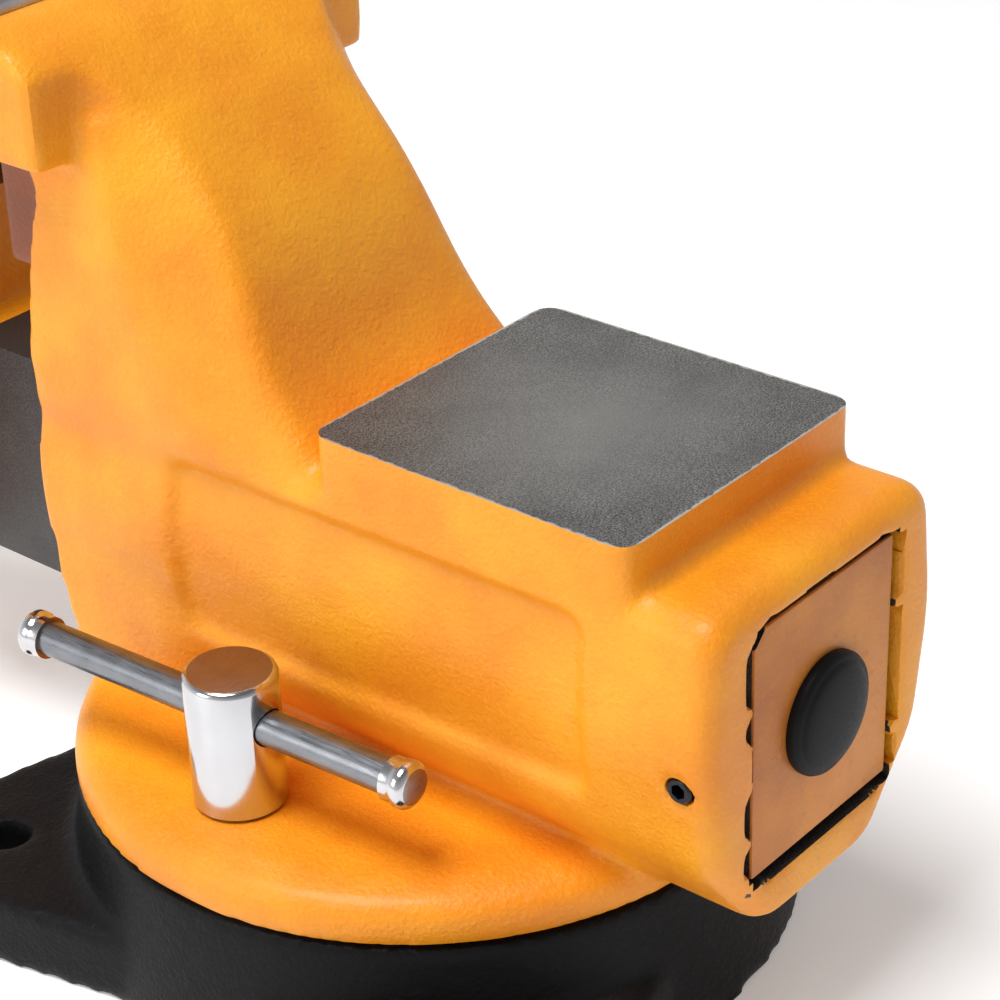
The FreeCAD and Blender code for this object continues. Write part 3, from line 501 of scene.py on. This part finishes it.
def fixed_body():
    piece = copied_from_frame("body_casting", "fixed_body")
    stocked(piece, lambda at, normal: normal.z > 0.99 and abs(at.z - ANVIL_TOP) < 0.1, (0, 0, 4))
    modified(piece, "REMESH", mode="VOXEL", voxel_size=1.5 * MM)
    softened(piece, 4)
    # Larger radii: the column above the body's top, the back of the head, the column's foot beside
    # the slide, and the shoulders where the column stands out from the body.
    softened(piece, 50, lambda p: near(p.z, 130, 22) * near(p.y, -44, 38) * (p.z > 116.5))
    softened(piece, 60, lambda p: near(p.z, 190, 20) * near(p.y, -44, 16) * near(p.x, 0, 40) * 3)
    softened(piece, 30, lambda p: near(p.z, 56, 14) * near(p.y, -50, 50) * (abs(p.x) > 26))
    softened(piece, 50, lambda p: near(p.z, 118, 10) * near(p.y, -50, 45) * (abs(p.x) > 39) * 2)
    planer = block("planer", (-60, -4, ANVIL_TOP), (60, 110, ANVIL_TOP + 12))
    screw = middle_of("slide_set_screw")
    screw_hole = rod("hole", 3.2, (20, screw.y, screw.z), (60, screw.y, screw.z), 40)
    carved(piece, planer, screw_hole, *slideway_tool())
    cleaned(piece, 0.02)
    coats = [FINISHES[coat] for coat in ("paint_orange", "anvil", "cheek_painted_shade", "slide")]
    finished(piece, "body", "paint_orange", coats, "body_casting")
    painted_faces(piece, 1, lambda at, normal: normal.z > 0.95
                  and abs(at.z - ANVIL_TOP) < 0.05)
    # painted shade on the pipe block's cheek sides under the jaw head
    painted_faces(piece, 2, lambda at, normal: at.y < CHEEK_BACK and PIPE_LOW < at.z < HEAD_LOW
                  and abs(normal.x) > 0.5 and abs(at.x) < CHEEK_HALF)
    # the slideway is bare ground iron, and its very dark tone there is painted shade for the deep gap
    # behind the rim
    painted_faces(piece, 3, lambda at, normal: in_slideway(at))
    return piece


def base():
    piece = copied_from_frame("base_casting", "swivel_base")
    modified(piece, "REMESH", mode="VOXEL", voxel_size=1.6 * MM)
    softened(piece, 6)
    # the hollow between the lugs and the drum
    softened(piece, 14, lambda p: near(p.z, 18, 12) * near(math.hypot(p.x, p.y), 86, 14))
    return finished(piece, "base", "paint_black", FINISHES["paint_black"], "base_casting")


# ---- the moving jaw --------------------------------------------------------------------
def moving_jaw():
    """The column and head, sand cast; the ground slide is a piece of its own."""
    piece = copied_from_frame("front_jaw_casting", "moving_jaw_column")
    modified(piece, "REMESH", mode="VOXEL", voxel_size=1.5 * MM)
    softened(piece, 3)
    carved(piece, block("saw", (-70, COLUMN_BACK + 12, SLIDE_LOW - 15),
                        (70, SLIDE_END + 10, SLIDE_HIGH + 12)))
    finished(piece, "moving_jaw", "paint_orange", FINISHES["paint_orange"], "front_jaw_casting")
    return piece


def slide():
    """Inverted U bar with a closed end plate that carries the plug."""
    start = COLUMN_BACK - 6
    bar = block("slide", (-SLIDE_HALF, start, SLIDE_LOW), (SLIDE_HALF, SLIDE_END, SLIDE_HIGH))
    rounded(bar, 0.6, 2)
    corner = block("corner", (-2.6, -20, -2.6), (2.6, 4, 2.6))
    corner.rotation_euler.y = math.radians(45)
    corner.location = Vector((SLIDE_HALF, SLIDE_END, SLIDE_HIGH)) * MM
    settle(corner, "corner")
    channel = block("channel", (-CHANNEL_HALF, start - 1, SLIDE_LOW - 5),
                    (CHANNEL_HALF, SLIDE_END - SLIDE_WALL, SLIDE_HIGH - 10))
    hole = rod("hole", 11.0, (0, SLIDE_END - SLIDE_WALL - 1, SPINDLE_Z), (0, SLIDE_END + 1, SPINDLE_Z))
    carved(bar, corner, channel, hole)
    finished(bar, "moving_jaw", "paint_orange", [FINISHES["slide"], FINISHES["paint_end"]],
             "front_jaw_casting")
    painted_faces(bar, 1, lambda at, normal: at.y > SLIDE_END - 2
                  and abs(at.x) + abs(at.z - SPINDLE_Z) > 1)
    return bar


def end_plug():
    stem_r = 11.0
    r = 13.5
    brim = 2.9
    face = PLUG_HIGH - SLIDE_END
    outline = [(0, -9.5), (stem_r, -9.5), (stem_r, 0), (r - 0.2, 0), (r, 0.5), (r, 1.6),
               (r - 0.4, 2.4), (r - 1.2, brim)]
    crown = r - 1.6
    outline += [(crown * math.cos(a), brim + (face - brim) * math.sin(a))
                for a in (math.pi / 2 * step / 6 for step in range(7))]
    outline[-1] = (0, face)
    plug = turned("end_plug", outline, (0, SLIDE_END, SPINDLE_Z), "Y")
    return finished(plug, "moving_jaw", "plug_plastic", FINISHES["plug_plastic"],
                    "slide_end_plug", angle=50)


# ---- jaws ------------------------------------------------------------------------------
def hex_key_screw(name, centre, head_r, head_length, shank_r, length):
    """Cap screw along +Y whose hexagon socket opens towards -Y."""
    x, face_y, z = centre
    tip = head_length + length
    outline = [(0, 0), (head_r - 0.6, 0), (head_r, 0.6), (head_r, head_length),
               (shank_r, head_length), (shank_r, tip - 1), (shank_r - 1, tip), (0, tip)]
    screw = turned(name, outline, centre, "Y", steps=48)
    socket = rod("socket", head_r * 0.5, (x, face_y - 1, z), (x, face_y + head_length * 0.55, z), 6)
    return carved(screw, socket)


def jaw_insert():
    """Hardened plate with a cross-cut grip and two counterbored screws."""
    low, high = INSERT_LOW, INSERT_HIGH
    margin = 1.6
    face_y = low.y + 0.7
    width = high.x - low.x - margin
    height = high.z - low.z - margin
    bpy.ops.object.select_all(action="DESELECT")
    bpy.ops.mesh.primitive_grid_add(x_subdivisions=50, y_subdivisions=11, size=1)
    teeth = bpy.context.object
    teeth.scale = (width * MM, height * MM, 1)
    teeth.rotation_euler.x = math.pi / 2
    teeth.location = Vector((0, face_y, (low.z + high.z) / 2)) * MM
    settle(teeth, "rear_jaw_plate")
    bpy.ops.object.mode_set(mode="EDIT")
    bpy.ops.mesh.select_all(action="SELECT")
    bpy.ops.mesh.extrude_region_move(TRANSFORM_OT_translate={"value": (0, 3 * MM, 0)})
    bpy.ops.mesh.select_all(action="SELECT")
    bpy.ops.mesh.normals_make_consistent(inside=False)
    bpy.ops.object.mode_set(mode="OBJECT")
    choose_faces(teeth, lambda at, normal: normal.y < -0.9)
    bpy.ops.mesh.poke(offset=0.65 * MM)
    bpy.ops.object.mode_set(mode="OBJECT")
    plate = block("plate", (low.x, face_y, low.z), (high.x, high.y, high.z))
    rounded(plate, 0.8, 2)
    carved(teeth, plate, operation="UNION")
    tools = []
    z = middle_of("rear_jaw_screws").z
    for x in INSERT_SCREWS_X:
        tools.append(rod("counterbore", 6.9, (x, low.y - 1, z), (x, low.y + 8.6, z), 48))
        tools.append(rod("clearance", 4.2, (x, low.y, z), (x, high.y + 1, z), 32))
    return carved(teeth, *tools)


def pipe_jaw():
    """Hollow-faced block with sharp cross teeth in its V."""
    low, high = place_of("rear_pipe_jaw")
    middle = (low.z + high.z) / 2
    pitch = 1.55
    tooth = 0.6
    deepest = 8.2
    rows = int((high.z - low.z - 3) / 2 / pitch)
    depths = [deepest * (1 - abs(row) / (rows + 0.5)) for row in range(-rows, rows + 1)]
    outline = [(high.y, low.z), (high.y, high.z), (low.y, high.z)]
    for row in range(rows, -rows - 1, -1):
        depth = depths[row + rows]
        outline.append((low.y + depth + tooth, middle + row * pitch))
        if row > -rows:
            crest = (depth + depths[row + rows - 1]) / 2
            outline.append((low.y + crest - tooth, middle + (row - 0.5) * pitch))
    outline += [(low.y, low.z), outline[0]]
    piece = cleaned(drawn(outline))
    bpy.ops.object.mode_set(mode="EDIT")
    bpy.ops.mesh.select_all(action="SELECT")
    bpy.ops.mesh.edge_face_add()
    bpy.ops.mesh.extrude_region_move(TRANSFORM_OT_translate={"value": (0, (low.x - high.x) * MM, 0)})
    bpy.ops.object.mode_set(mode="OBJECT")
    piece.rotation_euler.z = math.pi / 2
    piece.location.x = low.x * MM
    cleaned(settle(piece, "rear_pipe_grip"))
    z = middle_of("rear_pipe_jaw_screws").z
    for x in PIPE_SCREWS_X:
        carved(piece, rod("counterbore", 5.4, (x, low.y - 1, z), (x, high.y - 2.4, z), 40),
               rod("clearance", 3.2, (x, low.y, z), (x, high.y + 1, z), 32))
    return piece


def both_jaws():
    insert = jaw_insert()
    grip = pipe_jaw()
    z = middle_of("rear_jaw_screws").z
    y = place_of("rear_jaw_screws")[0].y
    insert_screws = joined("rear_jaw_screw_pair", *[
        hex_key_screw("screw", (x, y, z), 6.5, 8.0, 3.95, 14.5) for x in INSERT_SCREWS_X])
    z = middle_of("rear_pipe_jaw_screws").z
    y = place_of("rear_pipe_jaw_screws")[0].y
    grip_screws = joined("rear_pipe_screw_pair", *[
        hex_key_screw("screw", (x, y, z), 5.0, 6.0, 2.95, 18.0) for x in PIPE_SCREWS_X])
    parts = [(insert, "jaw_insert", "jaw_steel"), (insert_screws, "jaw_screws", "black_oxide"),
             (grip, "pipe_jaw", "pipe_steel_painted_reflection"), (grip_screws, "pipe_jaw_screws", "black_oxide")]
    for piece, node, finish in parts:
        twin = mirrored(piece.name.replace("rear", "front"), piece, plane_y=JAW_MID_Y)
        slot = "jaw_steel" if finish == "pipe_steel_painted_reflection" else finish
        finished(twin, "moving_jaw", slot, FINISHES[finish], "front_" + node)
        finished(piece, "body", slot, FINISHES[finish], "rear_" + node)


# ---- spindle and handle ------------------------------------------------------------------
def spindle():
    """Head, flange and plain journal, then a trapezoidal thread."""
    head_r = 18.0
    hub = 2 * head_r
    flange_r = head_r + 2
    journal_r = 11.0
    journal_end = hub + JOURNAL_LENGTH
    outline = [(0, 0), (head_r - 7, 0), (head_r - 2.5, 0.8), (head_r - 0.7, 2.6), (head_r, 5),
               (head_r, hub - 3), (head_r - 1, hub - 1.4), (head_r - 1, hub),
               (flange_r - 0.6, hub), (flange_r, hub + 0.6), (flange_r, hub + 2.4),
               (flange_r - 0.6, hub + 3), (journal_r, hub + 3), (journal_r, journal_end),
               (journal_r - 1.8, journal_end + 1.5), (0, journal_end + 1.5)]
    head = turned("spindle", outline, (0, SPINDLE_FRONT, SPINDLE_Z), "Y")
    carved(head, rod("cross", HANDLE_R + 0.06, (-30, HANDLE.y, HANDLE.z),
                     (30, HANDLE.y, HANDLE.z)))
    root = 8.5
    crest = 10.95
    foot = root - 0.6
    start = SPINDLE_FRONT + journal_end - 4
    turns = int((SPINDLE_END - start) / THREAD_PITCH) - 1
    thread = drawn([(foot, 1.0), (crest, 2.3), (crest, 4.3), (foot, 5.6), (foot, 1.0)])
    cleaned(thread)
    spun(thread, 40, iterations=turns, screw_offset=THREAD_PITCH * MM)
    ends_closed(thread)
    thread.rotation_euler = AXES["Y"]
    thread.location = Vector((0, start, SPINDLE_Z)) * MM
    settle(thread, "thread")
    core_end = SPINDLE_END - start
    core_r = root + 0.02
    core = turned("core", [(0, 0), (core_r, 0), (core_r, turns * THREAD_PITCH + 1),
                           (core_r, core_end - 1.5), (root - 1.5, core_end), (0, core_end)],
                  (0, start, SPINDLE_Z), "Y")
    piece = joined("spindle", head, thread, core)
    return finished(piece, "spindle", "spindle_steel", FINISHES["spindle_steel"], "spindle_screw")


def handle():
    low, high = place_of("handle_bar")
    length = high.x - low.x
    bar = turned("tommy_bar", [(0, 0), (HANDLE_R - 0.8, 0), (HANDLE_R, 0.8), (HANDLE_R, length - 0.8),
                               (HANDLE_R - 0.8, length), (0, length)], (low.x, HANDLE.y, HANDLE.z), "X")
    finished(bar, "handle", "bar_steel", FINISHES["handle_steel"], "handle_bar")
    knob_low, knob_high = place_of("handle_knob_right")
    radius = (knob_high.z - knob_low.z) / 2
    span = (knob_high.x - knob_low.x) / 2
    outline = [(0, -span)]
    arcs = 12
    widest = math.acos(-span / radius)
    for step in range(arcs + 1):
        angle = widest - step / arcs * (2 * widest - math.pi)
        outline.append((radius * math.sin(angle), radius * math.cos(angle)))
    outline += [(HANDLE_R - 1.5, span), (HANDLE_R - 1.5, span - 0.4), (0, span - 0.4)]
    centre = ((knob_low.x + knob_high.x) / 2, HANDLE.y, HANDLE.z)
    knob = turned("tommy_bar_knob_right", outline, centre, "X")
    twin = mirrored("tommy_bar_knob_left", knob, plane_x=0)
    finished(knob, "handle", "bar_steel", FINISHES["handle_steel"], "handle_knob_right")
    finished(twin, "handle", "bar_steel", FINISHES["handle_steel"], "handle_knob_left")


def spring():
    low, high = place_of("spindle_spring")
    wire = 1.5
    coil_r = (high.z - low.z) / 2 - 1.6
    coils = 4
    pitch = (high.y - low.y - 2 * wire) / coils
    bpy.ops.object.select_all(action="DESELECT")
    bpy.ops.mesh.primitive_circle_add(vertices=12, radius=wire * MM, location=(coil_r * MM, 0, 0),
                                      rotation=(math.pi / 2, 0, 0), fill_type="NOTHING")
    piece = settle(bpy.context.object, "backlash_spring")
    spun(piece, 36, iterations=coils, screw_offset=pitch * MM)
    ends_closed(piece)
    piece.rotation_euler = AXES["Y"]
    piece.location = Vector((0, low.y + wire, SPINDLE_Z)) * MM
    settle(piece, "backlash_spring")
    return finished(piece, "spindle", "spring_steel", FINISHES["spring_steel"],
                    "spindle_spring", angle=60)


# ---- swivel locks ------------------------------------------------------------------------
def lock(side, word):
    low, high = place_of("lock_nut_" + word)
    centre = (low + high) / 2
    r = 10.4
    tall = high.z - low.z
    post = turned("lock_post_" + word,
                  [(0, 0), (r - 0.5, 0), (r, 0.6), (r, tall - 1.3), (r - 0.35, tall - 0.5),
                   (r - 0.9, tall - 0.1), (r - 1.2, tall), (0, tall)],
                  (centre.x, centre.y, low.z), steps=96)
    bar_centre = middle_of("lock_bar_" + word)
    bar_low, bar_high = place_of("lock_bar_" + word)
    bar_r = (bar_high.z - bar_low.z) / 2
    swing = side * LOCK_TURN
    along = Vector((-math.sin(swing), math.cos(swing), 0))
    start = Vector((centre.x, centre.y, bar_centre.z))
    carved(post, rod("cross", bar_r + 0.35, start - along * 14, start + along * 14, 48))
    thread_top = bar_centre.z - bar_r - 1.5
    carved(post, rod("thread", 6.0, (centre.x, centre.y, low.z - 1),
                     (centre.x, centre.y, thread_top), 48))
    rounded(post, 0.3, 2, 50)
    half = ((bar_high.y - bar_low.y) / 2 - bar_r * math.sin(LOCK_TURN)) / math.cos(LOCK_TURN)
    bar = turned("lock_rod_" + word, [(0, -half), (bar_r - 0.4, -half), (bar_r, 0.4 - half),
                                      (bar_r, half - 0.4), (bar_r - 0.4, half), (0, half)],
                 bar_centre, "Y", swing, 64)
    button_r = bar_r + 1.3
    buttons = []
    for end in (1, -1):
        outline = [(0, half - 5), (bar_r + 0.9, half - 5), (bar_r + 0.9, half - 3.2),
                   (button_r - 0.3, half - 2.4), (button_r, half - 1.8), (button_r, half - 0.2),
                   (button_r - 0.5, half + 0.6), (button_r - 1.3, half + 1.1),
                   (button_r - 2.6, half + 1.3), (0, half + 1.4)]
        turn = swing if end > 0 else swing + math.pi
        buttons.append(turned("button", outline, bar_centre, "Y", turn, 48))
    caps = joined("lock_rod_buttons_" + word, *buttons)
    chrome_and_painted_reflection = [FINISHES["chrome_plate"], FINISHES["chrome_painted_reflection"]]
    finished(post, "lock_nut_" + word, "chrome_plate", chrome_and_painted_reflection, "lock_nut_" + word)
    # the post's flat top gets the brown painted reflection of the orange body
    painted_faces(post, 1, lambda at, normal: normal.z > 0.98 and at.z > high.z - 0.1)
    finished(bar, "lock_bar_" + word, "bar_steel", FINISHES["bar_steel"], "lock_bar_" + word)
    finished(caps, "lock_bar_" + word, "chrome_plate", chrome_and_painted_reflection, "lock_bar_caps_" + word)
    # the buttons' flat ends get the brown painted reflection of the orange body
    painted_faces(caps, 1, lambda at, normal: abs(normal.dot(along)) > 0.9)


def set_screw():
    low, high = place_of("slide_set_screw")
    centre = (low + high) / 2
    length = high.x - low.x
    r = 2.9
    piece = turned("adjuster_screw",
                   [(0, 0), (r, 0), (r, length - 0.5), (r - 0.4, length), (0, length)],
                   (low.x, centre.y, centre.z), "X", steps=40)
    carved(piece, rod("socket", 1.75, (high.x - 4, centre.y, centre.z),
                      (high.x + 1, centre.y, centre.z), 6))
    return finished(piece, "body", "black_oxide", FINISHES["black_oxide"], "slide_set_screw")


def frame_nodes():
    """Inner pieces whose plain shape is right keep their mesh and get their finish."""
    kept = {"spindle_nut": "nut_iron", "spindle_nut_washer": "zinc_steel",
            "spindle_nut_bolt": "zinc_steel",
            "slide_pad": "brass_pad", "lock_bolt_right": "zinc_steel", "lock_bolt_left": "zinc_steel",
            "spindle_thrust_washer": "zinc_steel", "spindle_spring_washer": "zinc_steel",
            "spindle_collar": "spindle_steel", "spindle_collar_pin": "spindle_steel"}
    for node, slot in kept.items():
        mesh = frame["nodes"][node].data
        mesh.materials.clear()
        mesh.materials.append(FINISHES[slot])


# ---- stage -------------------------------------------------------------------------------
BENCH_WHITE = (0.93, 0.93, 0.93)
BENCH_GLOW = 0.22
LAMPS_AIM = Vector((0, 0, 0.1))
# Each lamp's place and size in metres, and its watts.
LAMPS = {
    "key": ((0.5, -0.1, 1.6), 0.7, 24),
    "side": ((1.7, -0.7, 0.8), 0.8, 8),
}


def bench_top():
    bpy.ops.object.select_all(action="DESELECT")
    bpy.ops.mesh.primitive_plane_add(size=8)
    floor = bpy.context.object
    floor.name = "bench_top"
    surface = Finish("bench_white", BENCH_WHITE, Roughness=0.6, Emission_Color=(1, 1, 1, 1),
                     Emission_Strength=BENCH_GLOW)
    surface.colour(surface.mix(surface.noise(0.004, 2), (0.92, 0.92, 0.92), (0.94, 0.94, 0.94)))
    floor.data.materials.append(surface.material)


def studio_sky():
    """White light, strongest near the horizon and a little weaker towards the back."""
    world = bpy.data.worlds.new("studio")
    bpy.context.scene.world = world
    world.use_nodes = True
    tree = world.node_tree
    sky = tree.nodes["Background"]
    sky.inputs["Color"].default_value = (1.0, 1.0, 1.0, 1)
    heading = tree.nodes.new("ShaderNodeTexCoord")
    parts = tree.nodes.new("ShaderNodeSeparateXYZ")
    fade = tree.nodes.new("ShaderNodeMapRange")
    front = tree.nodes.new("ShaderNodeMath")
    front.operation = "MULTIPLY_ADD"
    front.inputs[1].default_value = -0.3
    front.inputs[2].default_value = 0.95
    share = tree.nodes.new("ShaderNodeMath")
    share.operation = "MULTIPLY"
    tree.links.new(heading.outputs["Generated"], parts.inputs[0])
    tree.links.new(parts.outputs["Z"], fade.inputs["Value"])
    tree.links.new(parts.outputs["Y"], front.inputs[0])
    tree.links.new(front.outputs[0], share.inputs[0])
    tree.links.new(fade.outputs["Result"], share.inputs[1])
    tree.links.new(share.outputs[0], sky.inputs["Strength"])
    for socket, value in (("From Min", 0.1), ("From Max", 0.8), ("To Min", 0.8), ("To Max", 0.2)):
        fade.inputs[socket].default_value = value


def lamps():
    for name, (place, size, watts) in LAMPS.items():
        light = bpy.data.lights.new(name, "AREA")
        light.size = size
        light.energy = watts
        lamp = bpy.data.objects.new(name, light)
        lamp.location = place
        lamp.rotation_euler = (LAMPS_AIM - Vector(place)).to_track_quat("-Z", "Y").to_euler()
        bpy.context.collection.objects.link(lamp)


CAMERA_PLACE = (0.38994, 0.35933, 0.38978)
CAMERA_TURN = (130.74, 28.85, -2.18)
CAMERA_LENS = 97.86


def camera():
    """Behind and to the operator's right; its turn is azimuth, elevation and roll in degrees."""
    azimuth, elevation, roll = (math.radians(angle) for angle in CAMERA_TURN)
    back = Vector((math.sin(azimuth) * math.cos(elevation), -math.cos(azimuth) * math.cos(elevation),
                   math.sin(elevation)))
    right = (-back).cross(Vector((0, 0, 1))).normalized()
    up = right.cross(-back)
    turned_right = math.cos(roll) * right + math.sin(roll) * up
    turned_up = -math.sin(roll) * right + math.cos(roll) * up
    lens = bpy.data.cameras.new("camera")
    lens.lens = CAMERA_LENS
    lens.sensor_width = 36.0
    view = bpy.data.objects.new("camera", lens)
    bpy.context.collection.objects.link(view)
    pose = Matrix((turned_right, turned_up, back)).transposed().to_4x4()
    pose.translation = CAMERA_PLACE
    view.matrix_world = pose
    bpy.context.scene.camera = view


camera()
fixed_body()
base()
moving_jaw()
slide()
end_plug()
both_jaws()
spindle()
handle()
spring()
lock(1, "right")
lock(-1, "left")
set_screw()
frame_nodes()
bench_top()
studio_sky()
lamps()
bpy.context.scene.view_settings.view_transform = "Standard"
